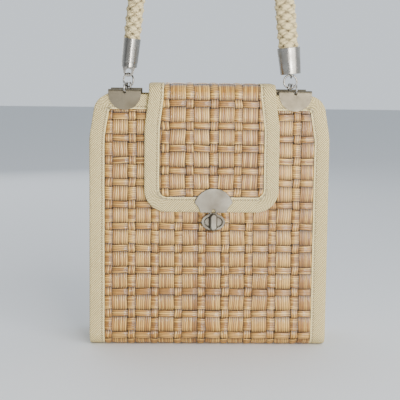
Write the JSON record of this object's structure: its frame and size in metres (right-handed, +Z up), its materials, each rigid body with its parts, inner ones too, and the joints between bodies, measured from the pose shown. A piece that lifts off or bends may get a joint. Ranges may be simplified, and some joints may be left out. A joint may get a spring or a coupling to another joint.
{
  "type": "basket box bag",
  "caption": "Rigid box bag of woven straw bound with twill tape, with a flap and turn lock and a thick rope handle on metal links.",
  "frame": {"origin": "centre of the flat base, on the surface it stands on", "axes": "+Z up, the flap and lock face -Y, +X to the right as seen from the front"},
  "size_m": [0.2032, 0.0682, 0.4135],
  "materials": {
    "straw": "varnished woven raffia",
    "tape": "cream herringbone twill",
    "cloth": "plain lining cloth",
    "nickel": "satin nickel plate, lightly worn",
    "aged_nickel": "darkened nickel plate",
    "rope": "braided cotton"
  },
  "bodies": {
    "bag": {"woven_body": "straw", "body_binding": "tape", "gusset_left": "straw", "gusset_right": "straw", "gusset_binding_left": "tape", "gusset_binding_right": "tape", "lining": "cloth", "hinge_tape": "tape", "lock_base": "aged_nickel", "lock_backing": "aged_nickel", "corner_plate_front_left": "nickel", "corner_plate_front_right": "nickel", "corner_plate_back_left": "nickel", "corner_plate_back_right": "nickel"},
    "flap": {"flap_panel": "straw", "flap_binding": "tape", "flap_lining": "cloth", "hasp_plate": "aged_nickel", "hasp_backing": "aged_nickel"},
    "knob": {"turn_knob": "aged_nickel"},
    "handle": {"handle_rope": "rope", "ferrule_left": "nickel", "eye_left": "nickel", "ring_left": "nickel", "ferrule_right": "nickel", "eye_right": "nickel", "ring_right": "nickel"},
    "link_front_left": {"link_front_left": "nickel"},
    "link_front_right": {"link_front_right": "nickel"},
    "link_back_left": {"link_back_left": "nickel"},
    "link_back_right": {"link_back_right": "nickel"}
  },
  "joints": [
    {"name": "flap_hinge", "type": "hinge", "parent": "bag", "child": "flap", "pos_m": [0, 0.0218, 0.2146], "axis": [-1, 0, 0], "range_deg": [0, 75]},
    {"name": "knob_turn", "type": "hinge", "parent": "bag", "child": "knob", "pos_m": [0.0036, -0.02701, 0.10681], "axis": [0, -0.9984, 0.056], "range_deg": [0, 90]},
    {"name": "handle_swing", "type": "hinge", "parent": "bag", "child": "handle", "pos_m": [0, 0, 0.21948], "axis": [-1, 0, 0], "range_deg": [-40, 40]},
    {"name": "link_front_left_swing", "type": "hinge", "parent": "bag", "child": "link_front_left", "pos_m": [-0.072, -0.01962, 0.21547], "axis": [1, 0, 0], "range_deg": [-2, 2]},
    {"name": "link_front_right_swing", "type": "hinge", "parent": "bag", "child": "link_front_right", "pos_m": [0.072, -0.01962, 0.21547], "axis": [1, 0, 0], "range_deg": [-2, 2]},
    {"name": "link_back_left_swing", "type": "hinge", "parent": "bag", "child": "link_back_left", "pos_m": [-0.072, 0.01962, 0.21547], "axis": [1, 0, 0], "range_deg": [-2, 2]},
    {"name": "link_back_right_swing", "type": "hinge", "parent": "bag", "child": "link_back_right", "pos_m": [0.072, 0.01962, 0.21547], "axis": [1, 0, 0], "range_deg": [-2, 2]}
  ]
}
